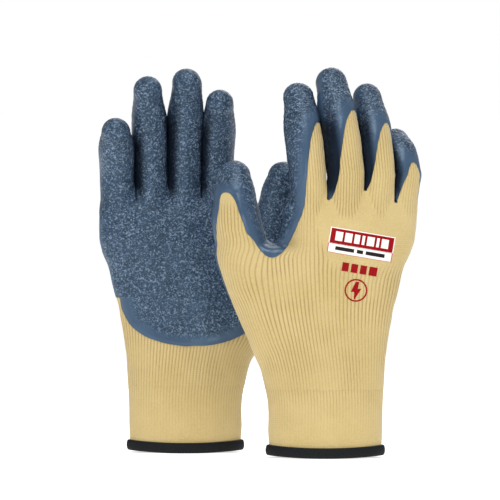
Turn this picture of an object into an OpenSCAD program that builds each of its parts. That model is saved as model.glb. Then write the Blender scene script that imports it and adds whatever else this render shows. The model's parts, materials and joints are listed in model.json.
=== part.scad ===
// A pair of knitted work gloves with a crinkled latex dip, standing on their cuffs.
// The front glove shows the back of the hand and the rear glove shows the palm.
// Each glove is built in its own frame: +Z to the fingertips, +X to the little finger,
// +Y out of the palm, with the origin under the middle of the cuff.

/* [Glove] */
// Length from the hem to the tip of the middle finger
glove_length = 255; // [240:1:270]
// Width of the cuff
cuff_width = 74; // [70:1:76]
// Thickness of the cuff, from the back of the wrist to its palm side
cuff_depth = 48; // [44:1:50]
// Height of the plain ribbed cuff
cuff_height = 44; // [40:1:50]

/* [Material thickness] */
// Thickness of the knitted liner
knit = 1.2; // [0.8:0.1:1.4]
// Thickness of the latex coating
latex = 0.8; // [0.5:0.1:0.9]
// Thickness of the printed film
film = 0.15; // [0.1:0.05:0.3]

/* [Hem and elastic] */
// Height of the black overlocked hem
hem_height = 7; // [5:0.5:9]
// Thickness of the hem's roll outside the cuff
hem_roll = 2.2; // [1:0.1:3]
// Thickness of the hem's binding inside the cuff
hem_lining = 1; // [0.6:0.1:1.5]
// Number of elastic yarns laid into the cuff
elastic_count = 4; // [2:1:6]
// Thickness of one elastic yarn
elastic_yarn = 0.6; // [0.4:0.1:0.8]

/* [Print] */
// Width of the printed panel
panel_width = 43; // [36:1:44]
// Height of the red part of the panel
red_height = 10.4; // [8:0.2:11]
// Height of the white part of the panel
white_height = 5.8; // [4:0.2:6]
// Outer radius of the ring around the bolt symbol
ring_radius = 7; // [5:0.5:7.5]

/* [Pair] */
// Distance from one glove to the other, front to back
pair_depth = 86; // [86:1:100]

/* [Hidden] */
size = glove_length / 255;      // everything but the cuff and the thicknesses grows with the length
gap = 0.05;                     // clearance between layers that lie on each other
flex_height = 186 * size;       // height of the hinge line of the four fingers
thumb_flex_height = 150 * size; // height of the thumb's hinge
palm_columns = 32;
stall_columns = 14;
squareness = 2.3;               // exponent of the palm's sections, 2 is an ellipse
hem_floor = 1;                  // height of the hem's sole, under the end of the cuff

front_place = [45.5, -pair_depth / 2, 0];
rear_place = [-47.3, pair_depth / 2, 0];

// One digit: root on the hinge line, tip [x, height], how far the tip curls towards the palm, radius
function digit(root_x, tip_x, tip_z, curl, radius) = [root_x, tip_x, tip_z, curl, radius] * size;

// A hand: turn of the knuckle line, its slope and its bend, how far it lies behind the wrist, then the
// index, middle, ring and little finger and the thumb
FRONT = [20, 0, 0.0042, -4,
    digit(-12.5, -18.5, 246, 20, 11.2), digit(13, 2, 256, 24, 11.3), digit(34.5, 26.5, 246, 24, 10.5),
    digit(53, 48.5, 216, 16, 9.5), digit(-58.5, -60, 195, 8, 13.4)];
REAR = [8, 0.14, 0, -1,
    digit(-21.5, -24, 241.5, 18, 10.4), digit(0.3, -4, 255.5, 22, 10.8), digit(22.8, 22.7, 250.5, 20, 10.6),
    digit(46, 47.5, 223, 16, 10.4), digit(-59.5, -62.5, 194, 8, 13.2)];
INDEX = 4;
MIDDLE = 5;
RING = 6;
LITTLE = 7;
THUMB = 8;

// The palm, from the cuff up: [height, thumb side, little finger side, half depth]
PALM = [for (row = [
    [45, -38.2, 38, 24], [55, -41.5, 38.8, 22.5], [68, -46.5, 40, 20.5], [80, -51.5, 41.6, 19.2],
    [95, -58, 44.3, 18.2], [110, -63.8, 48, 17.4], [124, -68.4, 51.2, 16.6], [134, -71.5, 54, 15.8],
    [138, -36, 54.8, 15], [152, -33.5, 58, 13.6], [171.5, -31, 60.5, 12.8]]) row * size];
SHELF_ROW = 7;                  // the palm narrows above this row, and leaves the thumb's opening

function smooth(t) = let (u = min(1, max(0, t))) u * u * (3 - 2 * u);
function power(value, exponent) = sign(value) * pow(abs(value), exponent);

// How far the knuckles lie out of the wrist's plane at x, growing from the thumb's root to the top
function knuckle(hand, x) = hand[1] * x + hand[2] / size * pow(max(0, x + 10 * size), 2) + hand[3] * size;
function arch(hand, x, z) = smooth((z / size - 85) / 80) * knuckle(hand, x);

// A point of the palm at an angle around it, set off from the knit's outer face
function palm_point(hand, row, angle, off) =
    let (middle = (row[1] + row[2]) / 2, half_width = (row[2] - row[1]) / 2 + off)
    let (x = middle + half_width * power(cos(angle), 2 / squareness))
    [x, arch(hand, x, row[0]) + (row[3] + off) * power(sin(angle), 2 / squareness), row[0]];
function palm_grid(hand, rows, off) =
    [for (row = rows) [for (j = [0 : palm_columns - 1]) palm_point(hand, row, 360 * j / palm_columns, off)]];

// The palm's row at any height, and a point on the back of the hand there
function palm_row(z) =
    let (i = max([for (k = [0 : len(PALM) - 2]) PALM[k][0] <= z ? k : 0]))
    let (part = (z - PALM[i][0]) / (PALM[i + 1][0] - PALM[i][0]))
    PALM[i] * (1 - part) + PALM[i + 1] * part;
function back_point(hand, x, z, off) =
    let (row = palm_row(z), reach = abs((x - (row[1] + row[2]) / 2) / ((row[2] - row[1]) / 2)))
    [x, arch(hand, x, z) - row[3] * pow(1 - pow(reach, squareness), 1 / squareness) - off, z];

// Frame of one stall: hinge point, curl control point and the centre of the fingertip
function hinge_z(which) = which == THUMB ? thumb_flex_height : flex_height;
function hinge(hand, which) =
    [hand[which][0], which == THUMB ? 0 : knuckle(hand, hand[which][0]), hinge_z(which)];
function tip_centre(hand, which) =
    [hand[which][1], hinge(hand, which)[1] + hand[which][3], hand[which][2] - 0.9 * hand[which][4]];
function bend_point(hand, which) =
    let (from = hinge(hand, which), to = tip_centre(hand, which))
    [from[0] + 0.4 * (to[0] - from[0]), from[1] + 0.15 * (to[1] - from[1]), from[2] + 0.55 * (to[2] - from[2])];
function centre(hand, which, t) =
    (1 - t) * (1 - t) * hinge(hand, which) + 2 * t * (1 - t) * bend_point(hand, which)
    + t * t * tip_centre(hand, which);
function heading(hand, which, t) =
    let (d = (1 - t) * (bend_point(hand, which) - hinge(hand, which))
        + t * (tip_centre(hand, which) - bend_point(hand, which)))
    d / norm(d);

// The four fingers fold about the knuckle line, and the thumb about the glove's X axis
function hinge_axis(hand, which) = let (turn = which == THUMB ? 0 : hand[0]) [cos(turn), sin(turn), 0];

// A ring around a digit: centre, direction, radius, and how far the ring drops below its plane
function stall_ring(axis, middle, along, radius, ball) =
    let (side = axis - (axis * along) * along, across = side / norm(side), palmar = cross(along, across))
    [for (j = [0 : stall_columns - 1])
        let (angle = 360 * (j + 0.5) / stall_columns, depth = radius * sin(angle))
        middle + radius * cos(angle) * across + depth * palmar
        - (ball > 0 ? sqrt(ball * ball - depth * depth) : 0) * along];

// Rings from the root, which is round about the hinge, along the digit and over the fingertip
STALL_STEPS = [0.03, 0.3, 0.55, 0.8, 1];
TIP_ANGLES = [30, 55, 76];
ROOT_BALL = 2;                  // the root's ball is this much larger than the stall
TAPER = 0.1;                    // share of its radius that a digit loses towards its tip
function stall_grid(hand, which, off) =
    let (radius = hand[which][4] - latex - gap + off, axis = hinge_axis(hand, which),
        tip = radius * (1 - TAPER), last = heading(hand, which, 1))
    concat(
        [stall_ring(axis, centre(hand, which, 0), heading(hand, which, 0), radius, radius + ROOT_BALL)],
        [for (t = STALL_STEPS)
            stall_ring(axis, centre(hand, which, t), heading(hand, which, t), radius * (1 - TAPER * t), 0)],
        [for (a = TIP_ANGLES)
            stall_ring(axis, tip_centre(hand, which) + tip * sin(a) * last, last, tip * cos(a), 0)]);

// A closed wall between two grids of points. keep says which cells are there; a capped wall is
// closed over its last row.
module wall(outer, inner, keep, capped) {
    rows = len(outer);
    columns = len(outer[0]);
    function at(i, j) = i * columns + (j + columns) % columns;
    function there(i, j) = i >= 0 && i < rows - 1 && keep(i, (j + columns) % columns);
    function quad(a, b, c, d) = [[a, b, c], [a, c, d]];
    under = rows * columns;
    last = rows - 1;
    cells = [for (i = [0 : rows - 2]) for (j = [0 : columns - 1]) if (there(i, j)) [i, j]];
    faces = concat(
        [for (c = cells) let (i = c[0], j = c[1])
            each quad(at(i, j), at(i + 1, j), at(i + 1, j + 1), at(i, j + 1))],
        [for (c = cells) let (i = c[0], j = c[1])
            each quad(under + at(i, j), under + at(i, j + 1), under + at(i + 1, j + 1), under + at(i + 1, j))],
        [for (c = cells) let (i = c[0], j = c[1]) if (!there(i - 1, j))
            each quad(at(i, j), at(i, j + 1), under + at(i, j + 1), under + at(i, j))],
        [for (c = cells) let (i = c[0], j = c[1]) if (!there(i + 1, j) && !(capped && i == last - 1))
            each quad(at(i + 1, j + 1), at(i + 1, j), under + at(i + 1, j), under + at(i + 1, j + 1))],
        [for (c = cells) let (i = c[0], j = c[1]) if (!there(i, j - 1))
            each quad(at(i + 1, j), at(i, j), under + at(i, j), under + at(i + 1, j))],
        [for (c = cells) let (i = c[0], j = c[1]) if (!there(i, j + 1))
            each quad(at(i, j + 1), at(i + 1, j + 1), under + at(i + 1, j + 1), under + at(i, j + 1))],
        capped ? [for (j = [1 : columns - 2]) [at(last, 0), at(last, j + 1), at(last, j)]] : [],
        capped ? [for (j = [1 : columns - 2])
            [under + at(last, 0), under + at(last, j), under + at(last, j + 1)]] : []);
    polyhedron(points = concat([for (ring = outer) each ring], [for (ring = inner) each ring]), faces = faces);
}

// Sections of the straight cuff
module oval(off) {
    polygon([for (j = [0 : palm_columns - 1])
        let (angle = 360 * j / palm_columns)
        [(cuff_width / 2 + off) * cos(angle), (cuff_depth / 2 + off) * sin(angle)]]);
}
module sleeve(low, high, inner, outer) {
    translate([0, 0, low])
        linear_extrude(height = high - low)
            difference() {
                oval(outer);
                oval(inner);
            }
}

// Sub-parts of one glove, in the glove's own frame
module hem() color("#1d1d1f") {
    lining = -knit - 2 * gap;
    sleeve(0, hem_floor, lining - hem_lining, gap + hem_roll);
    sleeve(hem_floor, hem_height, gap, gap + hem_roll);
    sleeve(hem_floor, hem_height, lining - hem_lining, lining);
}
module cuff() color("#dcc482") sleeve(hem_floor + gap, cuff_height, -knit, 0);
ELASTIC_MARGIN = 4;             // plain knit below the first elastic yarn and above the last
module elastic() color("#e9dfc4") {
    inside = -knit - gap;
    first = hem_height + ELASTIC_MARGIN;
    step = (cuff_height - first - ELASTIC_MARGIN) / (elastic_count - 1);
    for (k = [0 : elastic_count - 1])
        sleeve(first + k * step, first + k * step + elastic_yarn, inside - elastic_yarn, inside);
}
// Columns of the palm next to the thumb, whose angle is within an opening's half angle of the thumb's
// side. The thumb's stall passes through this opening.
function facing_thumb(j, half_angle) = abs(360 * (j + 0.5) / palm_columns - 180) < half_angle;
LINER_OPENING = 50;
COATING_OPENING = 62;
module palm_liner(hand) color("#dcc482")
    wall(palm_grid(hand, PALM, 0), palm_grid(hand, PALM, -knit),
        function(i, j) !(i == SHELF_ROW && facing_thumb(j, LINER_OPENING)), false);

// The palm's latex starts at a row that rises towards the little finger, and runs up to the knuckles.
// Above the wrap row it also reaches around the thumb's edge.
LOW_ROW = 2;
LITTLE_ROW = 4;
THUMB_ROW = 6;
LITTLE_SECTOR = 30;
PALM_SECTOR = 180;
WRAPPED_SECTOR = 190;
WRAP_ROW = 5;
module palm_coating(hand) color("#42586f")
    wall(palm_grid(hand, PALM, gap + latex), palm_grid(hand, PALM, gap),
        function(i, j)
            let (angle = 360 * (j + 0.5) / palm_columns)
            let (low_row = angle < LITTLE_SECTOR ? LITTLE_ROW : angle > PALM_SECTOR ? THUMB_ROW : LOW_ROW)
            i >= low_row && angle < (i > WRAP_ROW ? WRAPPED_SECTOR : PALM_SECTOR)
            && !(i == SHELF_ROW && facing_thumb(j, COATING_OPENING)), false);
module stall(hand, which) color("#dcc482")
    wall(stall_grid(hand, which, 0), stall_grid(hand, which, -knit), function(i, j) true, true);
// The latex covers the palm side and both flanks, and all of the fingertip. The knit shows between
// these two angles on the back of the digit.
WINDOW_FROM = 245;
WINDOW_TO = 335;
module stall_coating(hand, which) color("#42586f")
    wall(stall_grid(hand, which, gap + latex), stall_grid(hand, which, gap),
        function(i, j)
            let (angle = 360 * (j + 1) / stall_columns)
            i > 0 && (i >= len(STALL_STEPS) || angle < WINDOW_FROM || angle > WINDOW_TO), true);

// The print lies on the back of the hand, tilted down towards the little finger
PANEL_CENTRE = [23.5, 139.8] * size;
PANEL_TILT = -10.6;
SYMBOL_CENTRE = [20, 110.5] * size;
function tilted(u, v) = PANEL_CENTRE
    + [u * cos(PANEL_TILT) - v * sin(PANEL_TILT), u * sin(PANEL_TILT) + v * cos(PANEL_TILT)];
PANEL_STEPS = 10;
function panel_grid(hand, low, high, off) =
    [for (v = [low, (low + high) / 2, high]) [for (j = [0 : PANEL_STEPS])
        let (p = tilted(panel_width * (j / PANEL_STEPS - 0.5), v))
        back_point(hand, p[0], p[1], off)]];
PRINT_LIFT = 0.4;               // keeps the flat facets of the film clear of the palm's facets
module panel(hand, low, high)
    wall(panel_grid(hand, low, high, PRINT_LIFT + film), panel_grid(hand, low, high, PRINT_LIFT),
        function(i, j) j < PANEL_STEPS, false);
panel_bottom = -(red_height + white_height) / 2;
module red_panel(hand) color("#c3202b") panel(hand, panel_bottom + white_height + gap, -panel_bottom);
module white_panel(hand) color("#f4f1ea") panel(hand, panel_bottom, panel_bottom + white_height);
RING_STEPS = 24;
RING_WIDTH = 1;
function ring_grid(hand, off) =
    [for (r = [ring_radius - RING_WIDTH, ring_radius]) [for (j = [0 : RING_STEPS - 1])
        let (angle = -360 * j / RING_STEPS)
        let (x = SYMBOL_CENTRE[0] + r * cos(angle), z = SYMBOL_CENTRE[1] + r * sin(angle))
        back_point(hand, x, z, off)]];
// A zigzag bolt, from its top to its point: [height, left edge, right edge]
BOLT = [[5.2, 0.6, 2.6], [0.7, -2.4, 0.8], [0.2, -0.9, 2.4], [-5.2, -1.9, -1.5]];
function bolt_grid(hand, off) =
    [for (i = [len(BOLT) - 1 : -1 : 0]) [for (x = [BOLT[i][1], BOLT[i][2]])
        back_point(hand, SYMBOL_CENTRE[0] + x, SYMBOL_CENTRE[1] + BOLT[i][0], off)]];
module symbol(hand) color("#c3202b") {
    wall(ring_grid(hand, PRINT_LIFT + film), ring_grid(hand, PRINT_LIFT), function(i, j) true, false);
    wall(bolt_grid(hand, PRINT_LIFT + film), bolt_grid(hand, PRINT_LIFT), function(i, j) j < 1, false);
}

module front() translate(front_place) children();
module rear() translate(rear_place) rotate([0, 0, 180]) children();

front() palm_liner(FRONT);  // front_palm_liner
front() cuff();  // front_rib_cuff
front() hem();  // front_cuff_hem
front() elastic();  // front_cuff_elastic
front() palm_coating(FRONT);  // front_palm_coating
front() stall(FRONT, INDEX);  // front_index_liner
front() stall(FRONT, MIDDLE);  // front_middle_liner
front() stall(FRONT, RING);  // front_ring_liner
front() stall(FRONT, LITTLE);  // front_little_liner
front() stall(FRONT, THUMB);  // front_thumb_liner
front() stall_coating(FRONT, INDEX);  // front_index_coating
front() stall_coating(FRONT, MIDDLE);  // front_middle_coating
front() stall_coating(FRONT, RING);  // front_ring_coating
front() stall_coating(FRONT, LITTLE);  // front_little_coating
front() stall_coating(FRONT, THUMB);  // front_thumb_coating
front() red_panel(FRONT);  // front_print_red_panel
front() white_panel(FRONT);  // front_print_white_panel
front() symbol(FRONT);  // front_print_symbol
rear() palm_liner(REAR);  // rear_palm_liner
rear() cuff();  // rear_rib_cuff
rear() hem();  // rear_cuff_hem
rear() elastic();  // rear_cuff_elastic
rear() palm_coating(REAR);  // rear_palm_coating
rear() stall(REAR, INDEX);  // rear_index_liner
rear() stall(REAR, MIDDLE);  // rear_middle_liner
rear() stall(REAR, RING);  // rear_ring_liner
rear() stall(REAR, LITTLE);  // rear_little_liner
rear() stall(REAR, THUMB);  // rear_thumb_liner
rear() stall_coating(REAR, INDEX);  // rear_index_coating
rear() stall_coating(REAR, MIDDLE);  // rear_middle_coating
rear() stall_coating(REAR, RING);  // rear_ring_coating
rear() stall_coating(REAR, LITTLE);  // rear_little_coating
rear() stall_coating(REAR, THUMB);  // rear_thumb_coating
rear() red_panel(REAR);  // rear_print_red_panel
rear() white_panel(REAR);  // rear_print_white_panel
rear() symbol(REAR);  // rear_print_symbol
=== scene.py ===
"""The looks of a pair of knitted work gloves with a crinkled latex dip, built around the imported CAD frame.

Each glove is one smooth hand form, a signed distance field whose measures are read from the CAD nodes.
The form is meshed, cut into the palm and the five stalls, and raised into ribs of knit and crinkles of
latex. The cuff, hem, elastic and print are laid on the same form. Lengths are in millimetres in the
glove's own frame, as in the CAD: +X to the little finger, +Y out of the palm, +Z to the fingertips.
"""
import json
import math

import bpy
import numpy as np
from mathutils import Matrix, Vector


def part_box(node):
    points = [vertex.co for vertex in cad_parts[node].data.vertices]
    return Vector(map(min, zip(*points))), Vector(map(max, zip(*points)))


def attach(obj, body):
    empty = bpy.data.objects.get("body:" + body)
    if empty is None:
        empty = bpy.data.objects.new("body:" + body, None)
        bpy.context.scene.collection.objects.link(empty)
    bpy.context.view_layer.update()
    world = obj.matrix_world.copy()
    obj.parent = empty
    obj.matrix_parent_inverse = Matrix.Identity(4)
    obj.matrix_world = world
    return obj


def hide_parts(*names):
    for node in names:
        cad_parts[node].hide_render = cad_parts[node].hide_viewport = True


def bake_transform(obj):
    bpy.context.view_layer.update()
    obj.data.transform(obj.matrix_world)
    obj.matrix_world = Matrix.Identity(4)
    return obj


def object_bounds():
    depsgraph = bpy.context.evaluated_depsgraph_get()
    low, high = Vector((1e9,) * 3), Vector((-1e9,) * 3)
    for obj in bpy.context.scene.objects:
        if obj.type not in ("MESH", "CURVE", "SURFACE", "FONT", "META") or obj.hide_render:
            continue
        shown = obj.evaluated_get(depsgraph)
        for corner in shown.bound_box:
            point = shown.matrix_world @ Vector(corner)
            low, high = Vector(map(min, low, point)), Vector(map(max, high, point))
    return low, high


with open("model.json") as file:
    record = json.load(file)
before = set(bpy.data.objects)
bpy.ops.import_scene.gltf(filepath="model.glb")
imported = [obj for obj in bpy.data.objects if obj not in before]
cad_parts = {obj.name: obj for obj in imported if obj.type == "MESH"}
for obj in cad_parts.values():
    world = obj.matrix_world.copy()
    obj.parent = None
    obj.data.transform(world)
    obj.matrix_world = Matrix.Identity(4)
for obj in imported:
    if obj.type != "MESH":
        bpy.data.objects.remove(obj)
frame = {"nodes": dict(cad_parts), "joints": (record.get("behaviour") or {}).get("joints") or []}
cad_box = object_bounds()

import openvdb
from mathutils import Vector

MM = 0.001
FINGERS = ["index", "middle", "ring", "little"]
DIGITS = FINGERS + ["thumb"]
JOINTS = {joint["name"]: joint for joint in frame["joints"]}

GRID = 1.0   # spacing of the form's mesh, halved where it is seen
BACKGROUND = 12.0                   # value of a field far from its shape

# Shape of the form
SQUARENESS = 2.3                    # exponent of the palm's sections, 2 is an ellipse
CUFF_TOP = 45.0                     # below this the sections turn into the cuff's ellipse
ARCH_START = 85.0                   # the knuckle line's arch grows from here
ARCH_RISE = 80.0
PALM_DROP = 26.0                    # the palm ends this far below the hinges, and the fingers' roots begin
ROOT_LEAN = {"front": 0.1, "rear": 0.03}    # share by which the fingers' roots gather in the middle
ROOT_SHIFT = {"index": 1.7, "middle": 0.7, "ring": 0.4, "little": -0.5}     # to the little finger's side
THUMB_LEAN = -9.0                   # the thumb's root runs this far towards the palm
THUMB_SHIFT = {"front": 0.0, "rear": -3.0}                                   # to the little finger's side
TIP_SHIFT = {"index": 1.3, "middle": 3.0, "ring": 2.2, "little": -1.2}       # to the little finger's side
WIDEN = 1.08                        # the filled fingers are this much fuller than their CAD stalls
TIP_SHARE = 0.76                    # radius of a fingertip as a share of the finger's
TAPER_START = 0.55                  # share of a digit's length where it begins to narrow
WEB_DROP = {"index": 16.0, "middle": 10.0, "ring": 18.0}    # each web lies this far below the hinges
CUFF_SWELL = 1.4                    # the cuff swells this much on the thumb's side above its hem
HEM_LIFT = 1.6                      # the hem rises this much at the sides of the wrist
SLOT = 0.7                          # half width of the slot between two neighbouring fingers
SPLIT_DROP = 9.5                    # the fingers' pieces start this far below their hinges
THUMB_SPLIT_DROP = 8.5
FINGER_BELOW = 40.0                 # a finger's tube reaches this far below its hinge, into the palm
THUMB_BELOW = 34.0
# The ball of the thumb: points from the thumb's hinge down to the wrist, and shares of the thumb's radius
THENAR_STEPS = [[0, 0, 6], [8, 0, -22], [17.5, 0, -45], [27.5, 0, -70]]
THENAR_SHARES = [1.0, 1.12, 1.2, 1.18]
# The web between the thumb and the index finger: its lowest point from the thumb's hinge, and a U around it
WEB_CENTRE = [23.5, 0, -18]
WEB_STEPS = [
    [-19, 0, 32], [-17, 0, 15], [-9, 0, 4.5], [0, 0, 1.7], [6, -0.5, 4], [11.5, -1, 13], [15, -2, 30],
]
WEB_RADIUS = 5.3

# Knit
WALES = 95                          # ribs of knit around a cuff
WALE_DEPTH = 0.3
FINGER_PITCH = 2.0                  # width of a rib around a digit
WALE_TABLE_STEP = 5.0               # height between the rows of the table of ribs
WALE_TABLE_TURNS = 360              # columns of the table
# A digit's own ribs take over from the palm's this far below its hinge, over this height
WALE_CHANGE = {"thumb": (30, 30), "index": (22, 22), "middle": (36, 3), "ring": (36, 3), "little": (36, 3)}
COURSE_PITCH = 1.35                 # height of a row of stitches

# Latex
LATEX = 0.85                        # thickness
CRINKLE = 0.45                      # height of the wrinkles
CRINKLE_SIZE = 0.66                 # their width
SMOOTH_START = 2.5                  # the latex is smooth this far from its edge
SMOOTH_EDGE = 6.5                   # and grows rough over this width
PALM_EDGE_TOP = 104.0               # the latex's lower edge on the palm curves below this height
PALM_EDGE_DROP = 32.5               # and reaches this far below it
PALM_EDGE_MIDDLE = -5.0
PALM_EDGE_SHARE = 0.895             # its half width as a share of the palm's
PALM_EDGE_EXPONENT = 2.2
# The bare window on the back of each finger: how far its arch lies below the tip, where across the finger it
# peaks, and how quickly it falls
WINDOWS = {
    "index": (25.0, 0.83, 0.46),
    "middle": (27.0, 0.83, 0.46),
    "ring": (25.5, 0.78, 0.46),
    "little": (21.6, 0.67, 0.5),
}
WINDOW_FALL = 8.5                   # the arch falls this much over that spread
WINDOW_EXPONENT = 1.667
THUMB_WINDOW = 20.0                 # the arch of the thumb's window lies this far below its tip
THUMB_PEAK = -0.45                  # it peaks on the thumb's outer side
THUMB_FALL = 25.5                   # falls this much over a radius towards the index finger
THUMB_EXPONENT = 2.3
THUMB_OUTER_FALL = 11.0             # and this much around the outer side
CUP_BEND = 0.0765                   # how sharply the latex's edge bends around the web
CLEFT_REACH = {"middle": 6.5, "ring": 6.5, "little": 4.4}   # half width of the bare knit in a cleft
# Where across a finger, from its middle, the wide painted shade in a cleft begins
SHADE_START = {"front": -0.15, "rear": 0.12}

# Cuff, hem and elastic
STITCH = 1.5                        # width of an overlock stitch of the hem
STITCH_HEIGHT = 0.16
YARN_SIDES = 8                      # faces around an elastic yarn
YARN_COLUMNS = 240                  # and along it

# Print
PRINT_LIFT = 0.8                    # the print lies this much above its CAD panels
FILM = 0.1                          # height of a printed film over the knit
NAME_BARS = [4.8, 4.8, 3.6, 1.6, 4.8, 1.8, 4.8]     # widths of the blocks on the red panel
PHRASE_BARS = [12.5, 4.2, 12.5]                     # on the white panel
RATING_BARS = [4.4, 4.4, 4.4, 5.4]                  # and of the red blocks above the ring
RATING_GAP = 3.6                    # from the ring up to those blocks
RATING_HEIGHT = 5.8
RING_WIDTH = 1.0
BOLT_REACH = 5.8                    # half height of the bolt

# Studio: place in metres, size in metres and power in watts of each light
LIGHTS = {
    "key": ((0.1, -0.95, 1.45), 0.5, 5.2),
    "top": ((0.05, -0.3, 1.2), 0.4, 4),
    "strip": ((0.25, -1.5, 0.3), 0.3, 2.4),
    "fill": ((-1.1, -1.2, 0.7), 0.9, 3),
    "back": ((0.3, 1.3, 1.0), 1.0, 8),
}
SKY = 0.42                          # light of the pale surroundings
FLOOR_GLOW = 0.66
FLOOR_WIDTH = 400
CAMERA_TARGET = (-0.0041, 0.136)    # x and z in metres
CAMERA_DISTANCE = 5.5
CAMERA_ELEVATION = 1.0              # degrees
FIELD_WIDTH = 0.332                 # width of the picture at the gloves, in metres


def smooth(t):
    """An even step from 0 to 1 as t goes from 0 to 1."""
    t = np.clip(t, 0, 1)
    return t * t * (3 - 2 * t)


def blend_min(a, b, width):
    """The union of two fields, filleted over width."""
    overlap = np.maximum(width - np.abs(a - b), 0) / width
    return np.minimum(a, b) - overlap * overlap * width / 4


def soft_max(a, b, width):
    """The intersection of two fields, filleted over width."""
    return -blend_min(-a, -b, width)


def lattice(cell, seed):
    """A repeatable number from 0 to 1 for every lattice point."""
    mixed = cell[:, 0] * 73856093 ^ cell[:, 1] * 19349663 ^ cell[:, 2] * 83492791 ^ seed * 40503
    mixed = mixed & 0xFFFFFFFF
    mixed = ((mixed ^ (mixed >> 13)) * 1274126177) & 0xFFFFFFFF
    return ((mixed ^ (mixed >> 16)) & 0xFFFF) / 65535


def noise(points, scale, seed):
    """Smooth noise from -1 to 1 with features of about the given scale."""
    scaled = points / scale
    base = np.floor(scaled).astype(np.int64)
    part = smooth(scaled - base)
    total = np.zeros(len(points))
    for corner in np.ndindex(2, 2, 2):
        weight = np.ones(len(points))
        for axis in range(3):
            weight *= part[:, axis] if corner[axis] else 1 - part[:, axis]
        total += weight * lattice(base + np.array(corner), seed)
    return 2 * total - 1


def through(heights, values, at):
    """A smooth curve through the values (Catmull-Rom), sampled at the given heights."""
    slopes = np.gradient(values, heights)
    at = np.clip(at, heights[0], heights[-1])
    i = np.clip(np.searchsorted(heights, at) - 1, 0, len(heights) - 2)
    width = heights[i + 1] - heights[i]
    t = (at - heights[i]) / width
    return (
        values[i] * (1 + 2 * t) * (1 - t) ** 2
        + slopes[i] * width * t * (1 - t) ** 2
        + values[i + 1] * t * t * (3 - 2 * t)
        + slopes[i + 1] * width * t * t * (t - 1)
    )


class Chain:
    """A tube of varying radius along a line of points."""

    def __init__(self, centres, radii):
        self.centres = np.array(centres, float)
        self.radii = np.array(radii, float)
        reach = self.radii.max() + BACKGROUND
        self.low = self.centres.min(0) - reach
        self.high = self.centres.max(0) + reach

    def distance(self, points):
        """Signed distance to the tube, held at BACKGROUND far from it."""
        out = np.full(len(points), BACKGROUND)
        near = np.flatnonzero(np.all((points > self.low) & (points < self.high), axis=1))
        if len(near) == 0:
            return out
        close = points[near]
        best = np.full(len(near), BACKGROUND)
        for i in range(len(self.centres) - 1):
            start, step = self.centres[i], self.centres[i + 1] - self.centres[i]
            t = np.clip((close - start) @ step / (step @ step), 0, 1)
            offset = close - start - t[:, None] * step
            length = np.sqrt(np.einsum("ij,ij->i", offset, offset))
            best = np.minimum(best, length - self.radii[i] - t * (self.radii[i + 1] - self.radii[i]))
        out[near] = best
        return out


class Digit:
    """One finger or the thumb: its hinge, tip and radius are the CAD's."""

    STEPS = 12

    def __init__(self, hand, name):
        self.name = name
        joint = JOINTS[f"{hand.glove}_{name}_flex"]
        self.hinge = hand.to_local(np.array([joint["pos_m"]]) / MM)[0]
        liner = hand.node_points(f"{name}_liner")
        coating = hand.node_points(f"{name}_coating")
        axis = np.array(joint["axis"][:2])
        root = liner[liner[:, 2] < self.hinge[2] + 5][:, :2] @ axis
        thumb = name == "thumb"
        self.radius = (root.max() - root.min()) / 2 + LATEX
        self.radius *= 1 if thumb else WIDEN
        self.end_radius = self.radius * TIP_SHARE
        self.top = coating[:, 2].max()
        cap = coating[coating[:, 2] > self.top - 0.3 * self.end_radius].mean(0)
        self.tip = np.array([cap[0] + TIP_SHIFT.get(name, 0), cap[1], self.top - self.end_radius])
        self.below = THUMB_BELOW if thumb else FINGER_BELOW
        self.lean = THUMB_LEAN if thumb else ROOT_LEAN[hand.glove] * self.hinge[0]
        self.hinge[0] += ROOT_SHIFT.get(name, 0)
        if thumb:
            self.hinge[0] += THUMB_SHIFT[hand.glove]
            self.tip[0] += THUMB_SHIFT[hand.glove]
        self.chain = self.make_chain()
        line = self.chain.centres
        self.line = line[np.argsort(line[:, 2])]

    def make_chain(self):
        """A tube from inside the palm through the hinge and along a curve to the tip, tapering at its end."""
        hinge, tip = self.hinge, self.tip
        bend = hinge + (tip - hinge) * np.array([0.4, 0.15, 0.55])
        ts = np.linspace(0, 1, self.STEPS + 1)[:, None]
        curve = (1 - ts) ** 2 * hinge + 2 * ts * (1 - ts) * bend + ts**2 * tip
        root = hinge - [self.lean, 0.25 * hinge[1], self.below]
        narrowed = smooth((ts[:, 0] - TAPER_START) / (1 - TAPER_START))
        taper = self.end_radius + (self.radius - self.end_radius) * (1 - narrowed)
        return Chain(np.vstack([[root], curve]), np.concatenate([[self.radius * 0.96], taper]))

    def around(self, points):
        """The share of the radius across (-1 thumb side, +1 little side) and out of the palm."""
        across = (points[:, 0] - np.interp(points[:, 2], self.line[:, 2], self.line[:, 0])) / self.radius
        out = (points[:, 1] - np.interp(points[:, 2], self.line[:, 2], self.line[:, 1])) / self.radius
        return across, out


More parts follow.
